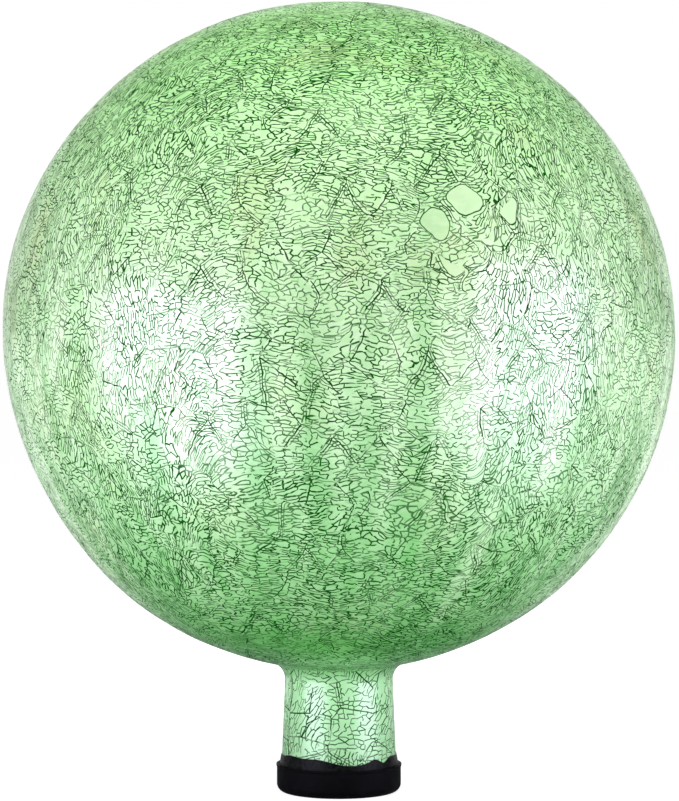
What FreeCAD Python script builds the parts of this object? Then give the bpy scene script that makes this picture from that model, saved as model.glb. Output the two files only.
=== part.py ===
"""Garden gazing ball: a hollow ball of blown crackle glass with a short flared neck. A soft black
cap is pushed over the cut lip of the neck and held there by a black sealant, which has squeezed
out above the cap's rim as a ragged collar.

Lengths are in millimetres. The origin is at the middle of the cap's underside, +Z is up through
the neck and the ball, and +Y points away from the viewer.
"""

import FreeCAD
import Part
import math
import os

# Ball of blown glass
ball_diameter = 254.0
crown_wall = 1.8  # glass at the top of the ball
underside_wall = 2.6  # glass at the bottom of the ball, which stays thicker

# Neck, drawn down from the ball and flared towards its cut lip
neck_length = 44.3  # from the lowest point of the full ball to the lip
neck_top_diameter = 40.7  # where the line of the neck meets the full ball
neck_flare = 3.3  # gained in diameter from there to the lip, which keeps the neck in the cap
neck_wall = 3.0
shoulder_radius = 6.5  # hollow curve between ball and neck
lip_chamfer = 0.5  # ground off both edges of the cut lip

# Soft cap pushed over the lip
cap_height = 10.6
cap_floor = 2.0
cap_wall = 1.2
cap_corner_radius = 3.2
rim_height = 1.2  # raised edge round the mouth of the cap
rim_proud = 0.25
mouth_chamfer = 0.5

# Sealant in the gap between neck and cap, with a collar above the rim
glue_gap = 0.35
collar_height = 3.6  # usual height above the rim
collar_edge_thickness = 0.2  # of its blunt upper edge, where that is highest
cut_overrun = 0.4

# Height of the collar's ragged edge at even steps round the neck, as shares of collar_height.
# They start at +X on the right and go by the back, the left and the front. The low stretch and
# the notch beside it are at the front, right of the middle.
collar_edge_shares = (
    (1.0, 1.08, 1.14, 1.03, 0.86, 0.92, 1.08, 1.11, 0.97)
    + (0.81, 0.75, 0.86, 1.0, 1.11, 1.17, 1.06, 0.92, 0.94)
    + (1.0, 1.03, 1.06, 1.22, 1.19, 1.11, 1.11, 1.08, 0.89)
    + (0.64, 0.5, 0.53, 0.72, 1.0, 0.56, 1.0, 1.08, 1.03)
)

# Sizes that follow from those above
ball_radius = ball_diameter / 2
lip_z = cap_floor
ball_centre_z = lip_z + neck_length + ball_radius
neck_top_radius = neck_top_diameter / 2
neck_top_z = ball_centre_z - math.sqrt(ball_radius**2 - neck_top_radius**2)
neck_lip_radius = neck_top_radius + neck_flare / 2
cap_bore_radius = neck_lip_radius + glue_gap
cap_radius = cap_bore_radius + cap_wall

AXIS = FreeCAD.Vector(0, 0, 1)
ORIGIN = FreeCAD.Vector(0, 0, 0)


def at(radius, z):
    """Point of an outline in the XZ half plane."""
    return FreeCAD.Vector(radius, 0, z)


def turned(*runs):
    """Solid made by turning a closed outline once round the Z axis. A run of two points is a
    line, and a run of three is an arc through its middle point."""
    makers = {2: Part.LineSegment, 3: Part.Arc}
    edges = [makers[len(points)](*points).toShape() for points in runs]
    return Part.Face(Part.Wire(edges)).revolve(ORIGIN, AXIS, 360)


def turned_polygon(*corners):
    """Solid made by turning a closed outline of straight lines once round the Z axis."""
    return turned(*zip(corners, corners[1:] + corners[:1]))


def shoulder_arc(ball_middle, ball_r, neck_foot, neck_head, radius):
    """Arc of the given radius that touches a ball and the line of its neck from outside.

    Its centre lies one radius off the neck's line and ball_r + radius from the ball's middle.
    Returns the touching point on the ball, the middle of the arc and the touching point on the
    neck's line.
    """
    along = (neck_head - neck_foot).normalize()
    outward = FreeCAD.Vector(along.z, 0, -along.x)
    start = neck_foot + outward * radius
    reach = start - ball_middle
    slope = along.dot(reach)
    travel = -slope - math.sqrt(slope**2 - reach.dot(reach) + (ball_r + radius) ** 2)
    centre = start + along * travel
    on_neck = centre - outward * radius
    on_ball = centre + (ball_middle - centre).normalize() * radius
    middle = centre + (on_neck + on_ball - centre * 2).normalize() * radius
    return on_ball, middle, on_neck


def glass_skin(wall_at_top, wall_at_bottom, wall_of_neck):
    """Points of one skin of the glass, that far inside the outer one: pole, equator, the arc of
    the shoulder from the ball to the neck, one chamfer above the lip, and the lip itself."""
    radius = ball_radius - (wall_at_top + wall_at_bottom) / 2
    middle = at(0, ball_centre_z + (wall_at_bottom - wall_at_top) / 2)
    lip = at(neck_lip_radius - wall_of_neck, lip_z)
    head = at(neck_top_radius - wall_of_neck, neck_top_z)
    shoulder = shoulder_arc(middle, radius, lip, head, shoulder_radius + wall_of_neck)
    above_lip = lip + (head - lip) * (lip_chamfer / (head.z - lip.z))
    return middle + at(0, radius), middle + at(radius, 0), shoulder, above_lip, lip


def glass_globe():
    """Ball and neck in one hollow wall of glass, with the end of the neck cut flat and both its
    edges ground off."""
    pole, equator, shoulder, above_lip, lip = glass_skin(0, 0, 0)
    in_pole, in_equator, in_shoulder, above_in_lip, in_lip = glass_skin(
        crown_wall, underside_wall, neck_wall
    )
    ground = at(lip_chamfer, 0)
    return turned(
        (pole, equator, shoulder[0]),
        shoulder,
        (shoulder[2], above_lip),
        (above_lip, lip - ground),
        (lip - ground, in_lip + ground),
        (in_lip + ground, above_in_lip),
        (above_in_lip, in_shoulder[2]),
        in_shoulder,
        (in_shoulder[0], in_equator, in_pole),
        (in_pole, pole),
    )


def end_cap():
    """Shallow cup with a flat foot, a round outer corner and a raised edge at its mouth."""
    diagonal = math.sqrt(0.5)
    low = at(cap_radius - cap_corner_radius, 0)
    corner = at(cap_corner_radius * diagonal, cap_corner_radius * (1 - diagonal))
    wall = at(cap_radius, cap_corner_radius)
    rim_low = at(cap_radius, cap_height - rim_height)
    rim_middle = at(cap_radius + rim_proud, cap_height - rim_height / 2)
    rim = at(cap_radius + rim_proud, cap_height)
    mouth = at(cap_bore_radius + mouth_chamfer, cap_height)
    bore = at(cap_bore_radius, cap_height - mouth_chamfer)
    bore_low = at(cap_bore_radius, cap_floor)
    seat = at(0, cap_floor)
    return turned(
        (ORIGIN, low),
        (low, low + corner, wall),
        (wall, rim_low),
        (rim_low, rim_middle),
        (rim_middle, rim),
        (rim, mouth),
        (mouth, bore),
        (bore, bore_low),
        (bore_low, seat),
        (seat, ORIGIN),
    )


def above_collar_edge(length):
    """Solid that covers all above the collar's ragged edge: a surface between a small and a
    large loop that rise and fall together, drawn straight up by the given length."""
    step = 2 * math.pi / len(collar_edge_shares)

    def loop(radius):
        points = [
            FreeCAD.Vector(
                radius * math.cos(count * step),
                radius * math.sin(count * step),
                cap_height + collar_height * share,
            )
            for count, share in enumerate(collar_edge_shares)
        ]
        curve = Part.BSplineCurve()
        curve.interpolate(Points=points, PeriodicFlag=True)
        return curve.toShape()

    ragged = Part.makeRuledSurface(loop(neck_lip_radius - neck_wall), loop(cap_radius))
    return ragged.extrude(at(0, length))


def sealant():
    """Film that fills the gap between neck and cap, and the collar on top of it, which stands in
    the chamfer of the cap's mouth and slopes in to a blunt, ragged edge on the glass."""
    _, _, shoulder, above_lip, lip = glass_skin(0, 0, 0)
    blank_z = cap_height + collar_height * max(collar_edge_shares) + cut_overrun
    up_neck = shoulder[2] - above_lip
    on_neck = above_lip + up_neck * ((blank_z - above_lip.z) / up_neck.z)
    blank = turned_polygon(
        lip - at(lip_chamfer, 0),
        at(cap_bore_radius, lip_z),
        at(cap_bore_radius, cap_height - mouth_chamfer),
        at(cap_bore_radius + mouth_chamfer / 2, cap_height - mouth_chamfer / 2),
        on_neck + at(collar_edge_thickness, 0),
        on_neck,
        above_lip,
    )
    return blank.cut(above_collar_edge(blank_z))


def main():
    os.makedirs("parts", exist_ok=True)
    pieces = {"glass_globe": glass_globe(), "end_cap": end_cap(), "sealant": sealant()}
    for name, shape in pieces.items():
        box = shape.optimalBoundingBox()
        print(
            f"{name}: {len(shape.Solids)} solid, valid {shape.isValid()}, "
            f"{shape.Volume / 1000:.2f} cm3, z {box.ZMin:.2f} to {box.ZMax:.2f}, "
            f"x {box.XMin:.2f} to {box.XMax:.2f}"
        )
        shape.exportStep(f"parts/{name}.step")


main()
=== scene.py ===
"""Garden gazing ball: mirror-lined ball of green crackle glass on a short neck, with a soft black
cap and a ragged collar of sealant. Lengths are in metres, except where a name or a comment says
that they are in millimetres.
"""

import math

import bpy
import numpy as np
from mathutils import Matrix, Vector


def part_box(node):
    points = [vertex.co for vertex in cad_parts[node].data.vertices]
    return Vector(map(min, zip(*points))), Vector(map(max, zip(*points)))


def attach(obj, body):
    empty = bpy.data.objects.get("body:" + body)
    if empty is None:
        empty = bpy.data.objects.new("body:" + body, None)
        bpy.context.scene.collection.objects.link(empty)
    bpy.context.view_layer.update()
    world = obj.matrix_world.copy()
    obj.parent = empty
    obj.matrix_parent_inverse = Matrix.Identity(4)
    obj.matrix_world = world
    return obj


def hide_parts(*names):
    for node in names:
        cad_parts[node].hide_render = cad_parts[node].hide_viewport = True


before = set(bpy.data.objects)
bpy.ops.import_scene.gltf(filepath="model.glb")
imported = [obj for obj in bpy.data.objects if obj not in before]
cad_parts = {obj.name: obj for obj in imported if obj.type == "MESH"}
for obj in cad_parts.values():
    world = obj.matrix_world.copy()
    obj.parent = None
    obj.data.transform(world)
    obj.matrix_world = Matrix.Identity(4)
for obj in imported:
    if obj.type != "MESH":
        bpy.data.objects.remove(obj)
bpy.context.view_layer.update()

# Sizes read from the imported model
glass_low, glass_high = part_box("glass_globe")
ball_radius = (glass_high.x - glass_low.x) / 2
ball_centre = glass_high.z - ball_radius
lip_height = glass_low.z

# Sizes of the neck, which the box of the glass can't give
neck_top_radius = 0.02035
neck_lip_radius = 0.0220
shoulder_radius = 0.0065
lip_bevel = 0.0005

# Fineness of the surface of the glass
skin_columns = 352
ball_steps, shoulder_steps, neck_steps = 214, 14, 22

MM = 1000.0


# Shapes


def closed_turning(radius, height, columns):
    """Vertices and faces of a form turned about the Z axis. The outline is two arrays whose first
    and last points lie on the axis: those become single points, and each point between them
    becomes a ring, x = radius cos(a), y = radius sin(a), z = height."""
    angle = np.arange(columns) * (2 * math.pi / columns)
    rings = np.stack(
        [
            np.outer(radius[1:-1], np.cos(angle)),
            np.outer(radius[1:-1], np.sin(angle)),
            np.repeat(height[1:-1, None], columns, axis=1),
        ],
        axis=-1,
    ).reshape(-1, 3)
    first, last = (0, 0, height[0]), (0, 0, height[-1])
    points = np.concatenate([[first], rings, [last]])
    row, column = np.meshgrid(np.arange(len(radius) - 3), np.arange(columns), indexing="ij")
    beside = (column + 1) % columns
    corner = 1 + row * columns
    quads = np.stack(
        [corner + column, corner + columns + column, corner + columns + beside, corner + beside],
        axis=-1,
    ).reshape(-1, 4)
    ring = np.arange(columns)
    after = (ring + 1) % columns
    end = len(points) - 1
    start_fan = np.stack([np.zeros(columns, int), 1 + ring, 1 + after], axis=-1)
    last_ring = end - columns
    end_fan = np.stack([last_ring + ring, np.full(columns, end), last_ring + after], axis=-1)
    return points, quads.tolist() + start_fan.tolist() + end_fan.tolist()


def add_piece(name, points, faces, material):
    """Object at the origin with the given mesh, smooth shaded."""
    mesh = bpy.data.meshes.new(name)
    mesh.from_pydata(points, [], faces)
    mesh.polygons.foreach_set("use_smooth", np.ones(len(faces), bool))
    mesh.materials.append(material)
    mesh.update()
    piece = bpy.data.objects.new(name, mesh)
    bpy.context.scene.collection.objects.link(piece)
    return piece


def arc(centre, radius, start, stop, count):
    """Radius and height along an arc, from angle start to stop, both from +Z towards +X."""
    turn = np.linspace(start, stop, count)
    return centre[0] + radius * np.sin(turn), centre[1] + radius * np.cos(turn)


def glass_outline():
    """Outline of the glass from the top of the ball to the middle of its lip: the arc of the
    ball, the hollow arc of the shoulder, which touches both ball and neck, and the straight
    neck with its bevelled lip."""
    low = np.array([neck_lip_radius, lip_height])
    head_z = ball_centre - math.sqrt(ball_radius**2 - neck_top_radius**2)
    head = np.array([neck_top_radius, head_z])
    along = (head - low) / np.linalg.norm(head - low)
    outward = np.array([along[1], -along[0]])
    middle = np.array([0.0, ball_centre])
    start = low + outward * shoulder_radius
    reach = start - middle
    slope = along @ reach
    travel = -slope - math.sqrt(slope**2 - reach @ reach + (ball_radius + shoulder_radius) ** 2)
    centre = start + along * travel
    from_ball = centre - middle
    ball_end = math.pi / 2 - math.atan2(from_ball[1], from_ball[0])
    neck_start = -math.pi / 2 - math.atan2(along[0], along[1])
    ball = arc((0.0, ball_centre), ball_radius, 0.0, ball_end, ball_steps)
    shoulder = arc(centre, shoulder_radius, ball_end - math.pi, neck_start, shoulder_steps)
    top = np.array([shoulder[0][-1], shoulder[1][-1]])
    above_lip = low + along * (lip_bevel / along[1])
    drop = np.linspace(0, 1, neck_steps)[1:, None]
    neck = top + (above_lip - top) * drop
    inner = np.array([[low[0] - lip_bevel, low[1]], [low[0] / 2, low[1]], [0.0, low[1]]])
    radius = np.concatenate([ball[0], shoulder[0][1:], neck[:, 0], inner[:, 0]])
    height = np.concatenate([ball[1], shoulder[1][1:], neck[:, 1], inner[:, 1]])
    radius[0] = 0.0
    return radius, height


# Out of round of the blown ball, every 30 degrees from +X by the top, seen from the front
out_of_round_mm = (0.1, -0.1, -0.8, -0.9, -0.45, 0.3, 0.1, -0.9, 0.15, -0.5, 0.0, 0.3)
shrink_mm = 0.12  # of the whole ball, so that its lumps stay inside the solid's box
lump_height_mm = 0.10
lump_limit = 1.2
lump_waves = 60
lump_wave_numbers = (14, 46)
lump_seed = 7
shoulder_fade = (-0.97, 0.12)  # the height above the ball's middle where it starts, and its rise


def blown_unevenness(points):
    """The same points moved in or out along the ball's radius. The outline seen from the front
    follows out_of_round_mm, as the smooth periodic curve through its values, and fades to the
    front and back. A sum of plane waves adds low lumps. Both fade to nothing above the
    shoulder."""
    centred = points - np.array([0.0, 0.0, ball_centre])
    length = np.linalg.norm(centred, axis=1, keepdims=True)
    direction = centred / np.maximum(length, 1e-9)
    turn = np.arctan2(direction[:, 2], direction[:, 0])
    waves = np.fft.rfft(out_of_round_mm) / len(out_of_round_mm)
    order = np.arange(1, len(waves))
    swing = np.exp(1j * np.outer(turn, order)) @ (2 * waves[1:])
    outline = waves[0].real + swing.real
    sideways = 1 - direction[:, 1] ** 2
    mean = float(np.mean(out_of_round_mm))
    shape = mean + (outline - mean) * sideways
    dice = np.random.default_rng(lump_seed)
    normals = dice.normal(size=(lump_waves, 3))
    normals /= np.linalg.norm(normals, axis=1, keepdims=True)
    counts = dice.uniform(*lump_wave_numbers, lump_waves)
    phases = dice.uniform(0, 2 * math.pi, lump_waves)
    waves_here = np.sin(direction @ (normals * counts[:, None]).T + phases)
    lumps = np.clip(waves_here.sum(1) / math.sqrt(lump_waves / 2), -lump_limit, lump_limit)
    fade = np.clip((direction[:, 2] - shoulder_fade[0]) / shoulder_fade[1], 0, 1)
    fade = fade * fade * (3 - 2 * fade)
    shift = (shape - shrink_mm + lump_height_mm * lumps) * fade / MM
    return points + direction * shift[:, None]


# Node trees written as sums

shift_share = 0.7  # shift of a net along v, as a share of that along u
dice_spread = 9.7
colour_inputs, colour_output = (6, 7), 2  # of a Mix node for colours


class Signal:
    """A value that varies over the surface. Arithmetic on signals adds the nodes that do it."""

    def __init__(self, socket):
        self.socket = socket
        self.tree = socket.id_data

    def __add__(self, other):
        return reckon("ADD", self, other)

    def __radd__(self, other):
        return reckon("ADD", other, self)

    def __sub__(self, other):
        return reckon("SUBTRACT", self, other)

    def __rsub__(self, other):
        return reckon("SUBTRACT", other, self)

    def __mul__(self, other):
        return reckon("MULTIPLY", self, other)

    def __truediv__(self, other):
        return reckon("DIVIDE", self, other)


def feed(socket, value):
    """Links a signal to a socket, or sets the socket to a number or a tuple."""
    if isinstance(value, Signal):
        value.tree.links.new(value.socket, socket)
    else:
        socket.default_value = value


def is_vector(value):
    return isinstance(value, tuple) or (
        isinstance(value, Signal) and value.socket.type in ("VECTOR", "RGBA")
    )


def tree_of(values):
    return next(value.tree for value in values if isinstance(value, Signal))


def reckon(operation, *values, clamp=False):
    """One Math or Vector Math node, whichever the values need."""
    tree = tree_of(values)
    if any(is_vector(value) for value in values):
        node = tree.nodes.new("ShaderNodeVectorMath")
        for socket, value in zip(node.inputs, values):
            feed(socket, value if is_vector(value) or isinstance(value, Signal) else (value,) * 3)
    else:
        node = tree.nodes.new("ShaderNodeMath")
        node.use_clamp = clamp
        for socket, value in zip(node.inputs, values):
            feed(socket, value)
    node.operation = operation
    outputs = [socket for socket in node.outputs if socket.enabled]
    return Signal(outputs[0])


def join(x, y, z=0.0):
    node = tree_of((x, y, z)).nodes.new("ShaderNodeCombineXYZ")
    for socket, value in zip(node.inputs, (x, y, z)):
        feed(socket, value)
    return Signal(node.outputs[0])


def split(vector):
    node = vector.tree.nodes.new("ShaderNodeSeparateXYZ")
    feed(node.inputs[0], vector)
    return [Signal(socket) for socket in node.outputs]


def ramp(value, low, high, start=0.0, stop=1.0):
    """Smooth step: start where the value is at low, stop where it is at high."""
    node = value.tree.nodes.new("ShaderNodeMapRange")
    node.interpolation_type = "SMOOTHSTEP"
    for name, number in zip(
        ("Value", "From Min", "From Max", "To Min", "To Max"), (value, low, high, start, stop)
    ):
        feed(node.inputs[name], number)
    return Signal(node.outputs[0])


def noise(place, size, detail=2.0, shift=0.0):
    """Noise whose lumps measure about size, in the unit of place: its number and three more."""
    node = place.tree.nodes.new("ShaderNodeTexNoise")
    feed(node.inputs["Vector"], place + (shift, shift, shift) if shift else place)
    node.inputs["Scale"].default_value = 1 / size
    node.inputs["Detail"].default_value = detail
    return Signal(node.outputs[0]), Signal(node.outputs[1])


def voronoi(place, size, feature, flat=True, stray=1.0):
    node = place.tree.nodes.new("ShaderNodeTexVoronoi")
    node.voronoi_dimensions = "2D" if flat else "3D"
    node.feature = feature
    feed(node.inputs["Vector"], place)
    node.inputs["Scale"].default_value = 1 / size
    node.inputs["Randomness"].default_value = stray
    return node


def net(sheet, size, stretch=1.0, shift=0.0, stray=1.0):
    """Net on a flat map. Its meshes are about size high and size times stretch wide. Returns the
    distance to the nearest thread, three random numbers of that thread and three of the mesh,
    and the middle of the mesh. A thread is the line midway between the two nearest middles, so
    the random numbers of both meshes added up give its own."""
    u, v, _ = split(sheet)
    squeezed = join((u + shift) / stretch, v + shift * shift_share)
    edges = voronoi(squeezed, size, "DISTANCE_TO_EDGE", stray=stray)
    border = Signal(edges.outputs["Distance"]) * size
    first = voronoi(squeezed, size, "F1", stray=stray)
    second = voronoi(squeezed, size, "F2", stray=stray)
    middle = Signal(first.outputs["Position"])
    cut_x, cut_y, _ = split(reckon("NORMALIZE", Signal(second.outputs["Position"]) - middle))
    if stretch != 1.0:
        cut_x = cut_x / stretch
        border = border / reckon("SQRT", cut_x * cut_x + cut_y * cut_y)
    mesh_dice = Signal(first.outputs["Color"])
    thread_dice = dice((mesh_dice + Signal(second.outputs["Color"])) * dice_spread)
    middle_x, middle_y, _ = split(middle)
    true_middle = join(middle_x * stretch - shift, middle_y - shift * shift_share)
    return border, thread_dice, split(mesh_dice), true_middle


def dice(place):
    """White noise of a vector: three random numbers."""
    node = place.tree.nodes.new("ShaderNodeTexWhiteNoise")
    node.noise_dimensions = "3D"
    feed(node.inputs["Vector"], place)
    return split(Signal(node.outputs["Color"]))


def blend(factor, first, second):
    """Mix of two colours."""
    node = tree_of((factor, first, second)).nodes.new("ShaderNodeMix")
    node.data_type = "RGBA"
    feed(node.inputs[0], factor)
    for number, value in zip(colour_inputs, (first, second)):
        feed(node.inputs[number], value if isinstance(value, Signal) else (*value, 1.0))
    return Signal(node.outputs[colour_output])


def new_finish(name):
    """Material with a bare Principled shader: (material, shader, place in millimetres from the
    middle of the ball)."""
    material = bpy.data.materials.new(name)
    material.use_nodes = True
    tree = material.node_tree
    shader = tree.nodes["Principled BSDF"]
    coordinates = tree.nodes.new("ShaderNodeTexCoord")
    mapping = tree.nodes.new("ShaderNodeMapping")
    mapping.inputs["Location"].default_value = (0, 0, -ball_centre * MM)
    mapping.inputs["Scale"].default_value = (MM, MM, MM)
    tree.links.new(coordinates.outputs["Object"], mapping.inputs["Vector"])
    return material, shader, Signal(mapping.outputs[0])


def set_all(shader, **values):
    """Sets the shader's inputs of these names, with blanks where a name has underscores."""
    for name, value in values.items():
        shader.inputs[name.replace("_", " ")].default_value = value


def emboss(shader, strength, depth, height):
    """Bump of the given depth in metres."""
    tree = shader.id_data
    bump = tree.nodes.new("ShaderNodeBump")
    bump.inputs["Strength"].default_value = strength
    bump.inputs["Distance"].default_value = depth
    feed(bump.inputs["Height"], height)
    tree.links.new(bump.outputs[0], shader.inputs["Normal"])


# Crackle glass. Lengths are in millimetres here, and heights are from the middle of the ball.

crack_colour = (0.0, 0.075, 0.0)
pane_tint = (0.39, 0.87, 0.28)
# Painted glint colour, beside the main cracks and on some small meshes
glint_tint = (0.80, 1.0, 0.64)
# Painted shade towards the crown
crown_shade_tint = (0.38, 0.95, 0.28)
# Neck green, lighter partly as painted light
neck_tint = (0.48, 1.0, 0.42)
bare_tint = (0.58, 0.84, 0.44)
# Painted shade towards the bottom, also the darker painted reflection streaks
deep_shade_tint = (0.08, 0.48, 0.05)
# Painted reflection mottling
reflected_olive_tint = (0.52, 0.66, 0.24)

# Size, detail, shift and reach of the noises that bend the cracks
wanders = ((24.0, 1.0, 0.0, 9.0), (6.0, 1.0, 30.0, 2.1), (1.8, 0.0, 70.0, 0.4))

# Flat maps
region_size = 44.0
map_distance = 119.0  # from the middle of the ball
neck_map_radius = 21.0
neck_top = (-125.5, -124.9)  # the map changes from the neck's to the ball's between these

# Nets: sizes of their meshes, and half widths of their cracks
main_size, main_shift = 12.0, 11.0
main_half = (0.17, 0.25)
twin_distance, twin_half = 1.0, 0.18
narrow_size, narrow_stretch = 1.12, 3.0
fine_size, fine_stretch = 1.45, 1.7
small_half = (0.18, 0.25)
neck_mesh_scale = 0.9  # the small meshes of the neck are larger by this divisor
neck_half_scale = 0.6  # of the small cracks there, before that divisor

# Bare panes
pane_patch = (50.0, -111.0, 36.0)
patch_edge = (12.0, 30.0)  # distances from the patch between which panes die out
pane_radius = 6.4
pane_flatness = 0.9
pane_corner = 1.8
pane_inset = 0.5
rim_half = 0.19
second_rim_distance, second_rim_half = 1.1, 0.17

# Upright streaks
streak_circle = 100.0
streak_stretch = 0.12
streak_width = 11.0


def line(gap, half, soft=0.06):
    """1 on a crack of the given half width, falling to 0 within soft of its edge."""
    return 1.0 - ramp(gap, half - soft, half + soft)


def turned_sheet(u, v, angle):
    """Flat map turned by an angle."""
    cosine, sine = reckon("COSINE", angle), reckon("SINE", angle)
    return join(u * cosine + v * sine, v * cosine - u * sine)


def wandered(place):
    """The place moved about a little, so that straight cracks bend."""
    moved = place
    for size, detail, shift, reach in wanders:
        _, wander = noise(place, size, detail, shift)
        moved = moved + (wander - 0.5) * reach
    return moved


def flat_map(moved, height):
    """Flat map of the surface, 1 on the neck and 0 on the ball, and the map's axes. Each region
    of a coarse net has a map of its own, laid against the ball, and the neck has one rolled
    round it."""
    region = voronoi(moved, region_size, "F1", flat=False)
    facing = reckon("NORMALIZE", Signal(region.outputs["Position"]))
    east = reckon("NORMALIZE", reckon("CROSS_PRODUCT", (0.0, 0.0, 1.0), facing))
    north = reckon("CROSS_PRODUCT", facing, east)
    x, y, _ = split(moved)
    on_neck = ramp(height, *neck_top, 1.0, 0.0)
    neck_u = reckon("ARCTAN2", x, 0.0 - y) * neck_map_radius
    ball_u = reckon("DOT_PRODUCT", moved, east)
    ball_v = reckon("DOT_PRODUCT", moved, north)
    u = ball_u + (neck_u - ball_u) * on_neck
    v = ball_v + (height - ball_v) * on_neck
    return join(u, v), on_neck, (east, north, facing)


def upright_streaks(moved, height):
    """Painted reflection streaks: noise about 0 that is drawn out upright. It is weak near the
    crown and ends above the bottom of the ball."""
    x, y, _ = split(moved)
    round_about = reckon("NORMALIZE", join(x, y)) * streak_circle
    drawn_out = round_about + join(0.0, 0.0, height * streak_stretch)
    streak, _ = noise(drawn_out, streak_width, 1.0, shift=310.0)
    streak = (streak - 0.5) * ramp(height, 70.0, -20.0, 0.3, 1.0)
    return streak * ramp(height, -75.0, -115.0, 1.0, 0.0)


def bare_panes(from_middle, gap, mesh, middle, axes, on_neck):
    """Rounded panes in some meshes of the main net, where a mesh has the room and lies near the
    patch: the distance from a pane's edge, and 1 in the meshes that have a pane."""
    own_place = middle + (main_shift, main_shift * shift_share, 0.0)
    to_edge = voronoi(own_place, main_size, "DISTANCE_TO_EDGE")
    room = Signal(to_edge.outputs["Distance"]) * main_size
    radius = reckon("MINIMUM", room + 1.0, pane_radius)
    from_edge = reckon("LENGTH", from_middle * (1.0, pane_flatness, 1.0)) - radius
    from_edge = reckon("SMOOTH_MAX", from_edge, pane_inset - gap, pane_corner)
    east, north, facing = axes
    middle_u, middle_v, _ = split(middle)
    middle_place = east * middle_u + north * middle_v + facing * map_distance
    from_patch = reckon("LENGTH", middle_place - pane_patch)
    chosen = ramp(mesh[0] - ramp(from_patch, *patch_edge, 0.0, 0.75), 0.30, 0.35)
    return from_edge, chosen * ramp(room, 2.6, 2.8) * (1.0 - on_neck)


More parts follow.
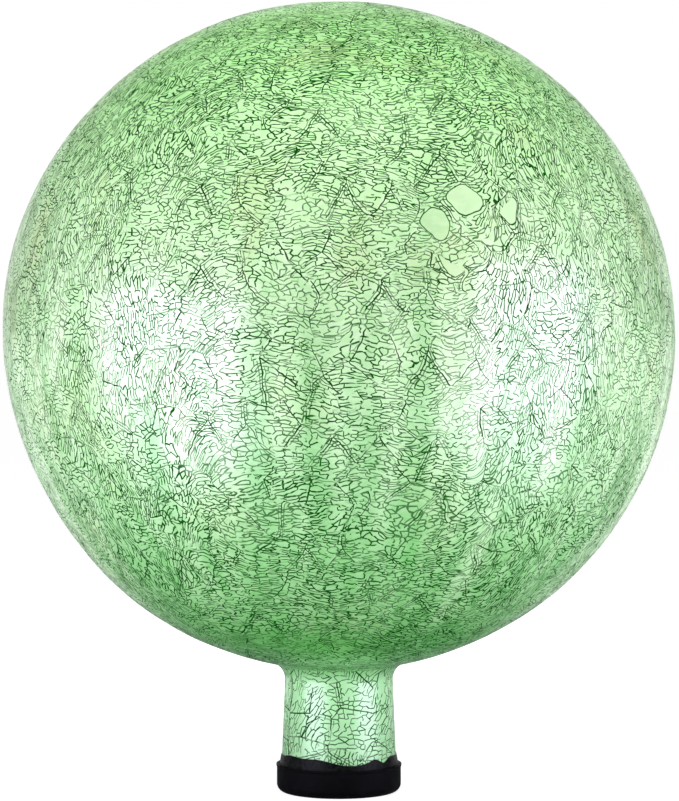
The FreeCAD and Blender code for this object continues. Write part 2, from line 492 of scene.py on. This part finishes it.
def crackle_glass():
    """Green glass over a mirror lining. The crackle is drawn on flat maps. It is a net of main
    cracks, some of them doubled, and between them either small polygons or long narrow meshes,
    which run in a direction of their own in each mesh of the main net. A few meshes hold a bare,
    rounded pane. Painted shade deepens the green towards the crown and towards the bottom, and
    painted reflection gives upright lighter and darker streaks and olive mottling. Painted glints
    and painted reflection make the glass lighter beside the main cracks and on some small meshes.
    The neck is lighter, partly as its clearer glass and partly as painted light. The clear coat
    gives the whitish highlights and is missing on the cracks."""
    material, shader, place = new_finish("crackle_glass")
    side, _, height = split(place)
    moved = wandered(place)
    sheet, on_neck, axes = flat_map(moved, height)

    # Where cracks crowd, fade and turn
    _, wide_three = noise(place * (1.0, 1.0, 0.45), 26.0, 2.0, shift=110.0)
    crowd, turn_noise, olive = split(wide_three)
    _, style_three = noise(place, 22.0, 1.0, shift=210.0)
    style, faint, _ = split(style_three)
    streak = upright_streaks(moved, height)
    fade, fade_three = noise(place, 5.0, 1.0, shift=150.0)
    fade_two, _, pane_tone = split(fade_three)

    # Main net, some of its threads doubled
    gap, thread, mesh, middle = net(sheet, main_size, shift=main_shift)
    weight = ramp(thread[0], 0.15, 0.45) * ramp(fade_two, 0.36, 0.46, 0.5, 1.0)
    main_line = line(gap, ramp(thread[1], 0.0, 1.0, *main_half)) * weight
    twin_line = line(reckon("ABSOLUTE", gap - twin_distance), twin_half)
    twin_line = twin_line * ramp(thread[2], 0.50, 0.65)

    # Bare panes with one rim or two
    from_middle = sheet - middle
    from_edge, has_pane = bare_panes(from_middle, gap, mesh, middle, axes, on_neck)
    bare = ramp(from_edge, -0.2, 0.2, 1.0, 0.0) * has_pane
    rim = line(reckon("ABSOLUTE", from_edge), rim_half) * has_pane
    second_rim = line(reckon("ABSOLUTE", from_edge - second_rim_distance), second_rim_half)
    second_rim = second_rim * has_pane * ramp(fade, 0.44, 0.5)

    # Small cracks are wider near the crown and the bottom
    mesh_scale = 1.0 - on_neck * (1.0 - neck_mesh_scale)
    widen = ramp(reckon("ABSOLUTE", height - 5.0), 30.0, 75.0, 0.9, 1.2)
    widen = widen * (1.0 - on_neck * (1.0 - neck_half_scale))
    low_half, high_half = small_half

    # Long narrow meshes, upright near the sides of the ball
    upright = reckon("MAXIMUM", ramp(reckon("ABSOLUTE", side), 38.0, 62.0), on_neck * 0.8)
    lean = upright * (math.pi / 2) + (turn_noise - 0.5) * 1.4 + (mesh[1] - 0.5) * 0.5
    local_u, local_v, _ = split(from_middle)
    lean_sheet = turned_sheet(local_u, local_v, lean) * mesh_scale
    lean_sheet = lean_sheet + join(mesh[0] * 97.0, mesh[2] * 61.0)
    narrow_gap, narrow_thread, narrow_mesh, _ = net(
        lean_sheet, narrow_size, narrow_stretch, stray=0.8
    )
    narrow_half = ramp(narrow_thread[1], 0.0, 1.0, low_half, high_half) * widen
    narrow_line = line(narrow_gap, narrow_half) * ramp(narrow_thread[0], 0.25, 0.30)

    # Small polygons
    fine_gap, fine_thread, fine_mesh, _ = net(
        sheet * mesh_scale, fine_size, fine_stretch, shift=37.0, stray=0.85
    )
    fine_half = ramp(fine_thread[1], 0.0, 1.0, low_half, high_half) * widen
    fine_line = line(fine_gap, fine_half) * ramp(fine_thread[0], 0.30, 0.36)
    polygons = ramp(style, 0.51, 0.55)

    # All cracks, with patches where the small ones are fainter
    vivid = ramp(faint, 0.36, 0.50, 0.85, 1.0) * ramp(fade, 0.32, 0.42, 0.9, 1.0)
    # Small cracks fade in the lighter painted reflection streaks
    vivid = vivid * ramp(streak, -0.16, -0.06, 0.75, 1.0)
    main_cracks = reckon("MAXIMUM", main_line, twin_line * 0.75)
    small_cracks = (narrow_line + (fine_line - narrow_line) * polygons) * vivid
    cracks = reckon("MAXIMUM", main_cracks, small_cracks) * (1.0 - bare)
    cracks = reckon("MAXIMUM", cracks, reckon("MAXIMUM", rim, second_rim))

    # Painted glints: lighter green beside the main cracks, and painted reflection on some of the
    # small meshes
    glint_beside_main = (1.0 - ramp(gap, 0.4, 1.2)) * weight
    shard_reflection = narrow_mesh[1] + (fine_mesh[1] - narrow_mesh[1]) * polygons
    painted_glint = reckon("MAXIMUM", glint_beside_main, 0.5 + shard_reflection * 0.35)

    # Painted shade: deeper green towards the bottom, varied by random tone, and painted
    # reflection in upright streaks
    tone = (pane_tone - 0.5) * 0.1 + (narrow_mesh[0] - 0.5) * 0.1
    depth = ramp(height, 70.0, -125.0) * 0.78 + ramp(height, -90.0, -124.0, 0.0, 0.2)
    depth = depth + (crowd - 0.45) * 0.25 + streak * 1.1 + tone
    depth = reckon("MAXIMUM", depth, 0.0, clamp=True)

    # Painted glints and painted reflection lighten the green
    green = blend(painted_glint * 0.88, pane_tint, glint_tint)
    # Painted shade: a deeper, more saturated green towards the crown
    green = blend(ramp(height, 20.0, 110.0, 0.0, 0.55), green, crown_shade_tint)
    green = blend(bare * ramp(pane_tone, 0.3, 0.7, 0.7, 1.0), green, bare_tint)
    green = blend(depth, green, deep_shade_tint)
    # Lighter green on the neck: partly its clearer glass, partly painted light where the ball
    # shades the neck
    green = blend(ramp(height, -109.0, -135.0, 0.0, 0.95), green, neck_tint)
    # Olive mottling: a painted reflection
    green = blend(ramp(olive, 0.54, 0.68, 0.0, 0.3) * (1.0 - depth), green, reflected_olive_tint)
    green = blend(cracks, green, crack_colour)
    feed(shader.inputs["Base Color"], green)
    feed(shader.inputs["Roughness"], ramp(fade_two, 0.3, 0.7, 0.34, 0.46))
    feed(shader.inputs["Coat Weight"], (1.0 - cracks) * (1.0 - bare * 0.45))
    set_all(shader, Metallic=0.15, IOR=1.5, Coat_Roughness=0.27, Coat_IOR=2.2)
    set_all(shader, Specular_IOR_Level=0.0)
    emboss(shader, 0.3, 0.0004, narrow_mesh[1] * 0.3 - cracks)
    return material


def cap_rubber():
    """Matt black soft rubber with a fine dusty grain and faint scuffs."""
    material, shader, place = new_finish("cap_rubber")
    grain, _ = noise(place, 0.5, 3.0)
    cloud, _ = noise(place, 6.0, 3.0, shift=2.0)
    colour = blend(ramp(cloud, 0.4, 0.7), (0.002, 0.002, 0.002), (0.004, 0.004, 0.005))
    feed(shader.inputs["Base Color"], colour)
    feed(shader.inputs["Roughness"], ramp(cloud, 0.3, 0.7, 0.45, 0.62))
    set_all(shader, IOR=1.5, Specular_IOR_Level=0.06)
    emboss(shader, 0.4, 0.0002, grain * 0.4 + cloud)
    return material


def set_sealant():
    """Black silicone, glossier than the cap, with small lumps."""
    material, shader, place = new_finish("set_sealant")
    lump, _ = noise(place, 1.6, 3.0)
    colour = blend(ramp(lump, 0.35, 0.7), (0.003, 0.004, 0.003), (0.010, 0.014, 0.010))
    feed(shader.inputs["Base Color"], colour)
    feed(shader.inputs["Roughness"], ramp(lump, 0.3, 0.7, 0.25, 0.4))
    set_all(shader, IOR=1.5, Specular_IOR_Level=0.08)
    emboss(shader, 0.6, 0.0005, lump)
    return material


# Glass

outline = glass_outline()
skin_points, skin_faces = closed_turning(*outline, skin_columns)
skin = add_piece("glass_skin", blown_unevenness(skin_points), skin_faces, crackle_glass())
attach(skin, "root")
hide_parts("glass_globe")

# Cap and sealant

for node_name, finish in (("end_cap", cap_rubber()), ("sealant", set_sealant())):
    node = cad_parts[node_name]
    for place in node.material_slots:
        place.material = finish


# Stage

floor_size = 30.0
floor_colour = (0.8, 0.8, 0.8, 1.0)
floor_glow = 0.85
white = (1.0, 1.0, 1.0)


def ray_kinds(tree):
    """1 for rays from the camera, and 1 for rays by way of a mirror or clear glass."""
    path = tree.nodes.new("ShaderNodeLightPath")
    camera_ray, glossy, through = [
        Signal(path.outputs[name])
        for name in ("Is Camera Ray", "Is Glossy Ray", "Is Transmission Ray")
    ]
    return camera_ray, reckon("MAXIMUM", glossy, through)


def floor_finish():
    """Pale floor. Seen directly it glows a little, so that it ends as white as the background,
    and it keeps the soft shadow of the ball. In a mirror it does so behind the ball, as the
    background does."""
    material = bpy.data.materials.new("pale_floor")
    material.use_nodes = True
    tree = material.node_tree
    shader = tree.nodes["Principled BSDF"]
    set_all(shader, Base_Color=floor_colour, Roughness=0.9, Specular_IOR_Level=0.0)
    set_all(shader, Emission_Color=(*white, 1.0))
    camera_ray, mirrored = ray_kinds(tree)
    coordinates = tree.nodes.new("ShaderNodeTexCoord")
    _, away, _ = split(Signal(coordinates.outputs["Object"]))
    behind = ramp(away, 0.1, 0.6)
    glow = reckon("MAXIMUM", camera_ray, mirrored * behind)
    feed(shader.inputs["Emission Strength"], glow * floor_glow)
    return material


half = floor_size / 2
floor = add_piece(
    "floor",
    [(-half, -half, 0.0), (half, -half, 0.0), (half, half, 0.0), (-half, half, 0.0)],
    [(0, 1, 2, 3)],
    floor_finish(),
)

world = bpy.data.worlds.new("studio")
bpy.context.scene.world = world
world.use_nodes = True
room_front, room_behind = 0.26, 0.08
sky = world.node_tree.nodes["Background"]
sky.inputs["Color"].default_value = (*white, 1.0)
camera_ray, mirrored = ray_kinds(world.node_tree)
sky_direction = world.node_tree.nodes.new("ShaderNodeTexCoord")
_, away, _ = split(Signal(sky_direction.outputs["Generated"]))
background = reckon("MAXIMUM", camera_ray, mirrored * ramp(away, 0.80, 0.96))
room = ramp(away, -0.35, 0.45, room_front, room_behind)
feed(sky.inputs["Strength"], room + background * (1.0 - room))


def hang(name, lamp, place, turn, power, colour):
    """Puts a lamp in the scene. It isn't seen directly."""
    lamp.energy = power
    lamp.color = colour
    holder = bpy.data.objects.new(name, lamp)
    holder.location = place
    holder.rotation_euler = turn
    holder.visible_camera = False
    bpy.context.scene.collection.objects.link(holder)
    return holder


softbox_tint = (0.97, 0.83, 1.25)
spot_height = 0.9
spot_angle = 26.0
spot_radius = 0.05


def standing_softbox(name, azimuth, distance, width, high, brightness):
    """Upright softbox that stands on the floor and faces the ball. Azimuth is in degrees from
    the camera's side, positive to the right, and high is the height of its upper edge."""
    turn = math.radians(azimuth)
    lamp = bpy.data.lights.new(name, "AREA")
    lamp.shape = "RECTANGLE"
    lamp.size = width
    lamp.size_y = high
    place = (distance * math.sin(turn), -distance * math.cos(turn), high / 2)
    power = brightness * math.pi * width * high
    hang(name, lamp, place, (math.pi / 2, 0.0, turn), power, softbox_tint)


def floor_spot(name, azimuth, distance, brightness):
    """Spot lamp straight above a place on the floor, which throws light up at the ball."""
    turn = math.radians(azimuth)
    lamp = bpy.data.lights.new(name, "SPOT")
    lamp.spot_size = math.radians(spot_angle)
    lamp.spot_blend = 1.0
    lamp.shadow_soft_size = spot_radius
    place = (distance * math.sin(turn), -distance * math.cos(turn), spot_height)
    power = brightness * 4 * math.pi**2 * spot_height**2 / floor_colour[0]
    hang(name, lamp, place, (0.0, 0.0, 0.0), power, softbox_tint)


standing_softbox(
    "left_softbox", azimuth=-52.0, distance=0.5, width=0.44, high=0.29, brightness=3.0
)
standing_softbox(
    "right_softbox", azimuth=62.0, distance=0.5, width=0.40, high=0.34, brightness=3.0
)

# The softbox over the ball lights it and isn't seen in the glass
top_place = (0.0, -0.6, 1.6)
top_tilt = math.radians(-22.0)
top_power = 31.0
top_lamp = bpy.data.lights.new("top_softbox", "AREA")
top_lamp.size = 1.2
top = hang("top_softbox", top_lamp, top_place, (top_tilt, 0.0, 0.0), top_power, white)
top.visible_glossy = False

floor_spot("left_floor_spot", azimuth=-44.0, distance=0.38, brightness=2.2)
floor_spot("right_floor_spot", azimuth=54.0, distance=0.38, brightness=2.0)

# Camera at the level of the ball's middle. The pixels are those of the photograph.
frame_height_pixels = 801
ball_above_middle_pixels = 66.0
ball_left_of_middle_pixels = 0.6
focal_pixels = 3026.7
camera_distance = 1.15
sensor = 36.0
camera_data = bpy.data.cameras.new("camera")
camera_data.sensor_width = sensor
camera_data.lens = focal_pixels * sensor / frame_height_pixels
camera_data.shift_y = -ball_above_middle_pixels / frame_height_pixels
camera_data.shift_x = ball_left_of_middle_pixels / frame_height_pixels
camera = bpy.data.objects.new("camera", camera_data)
camera.location = (0.0, -camera_distance, ball_centre)
camera.rotation_euler = (math.pi / 2, 0.0, 0.0)
bpy.context.scene.collection.objects.link(camera)
bpy.context.scene.camera = camera
bpy.context.scene.view_settings.view_transform = "Standard"
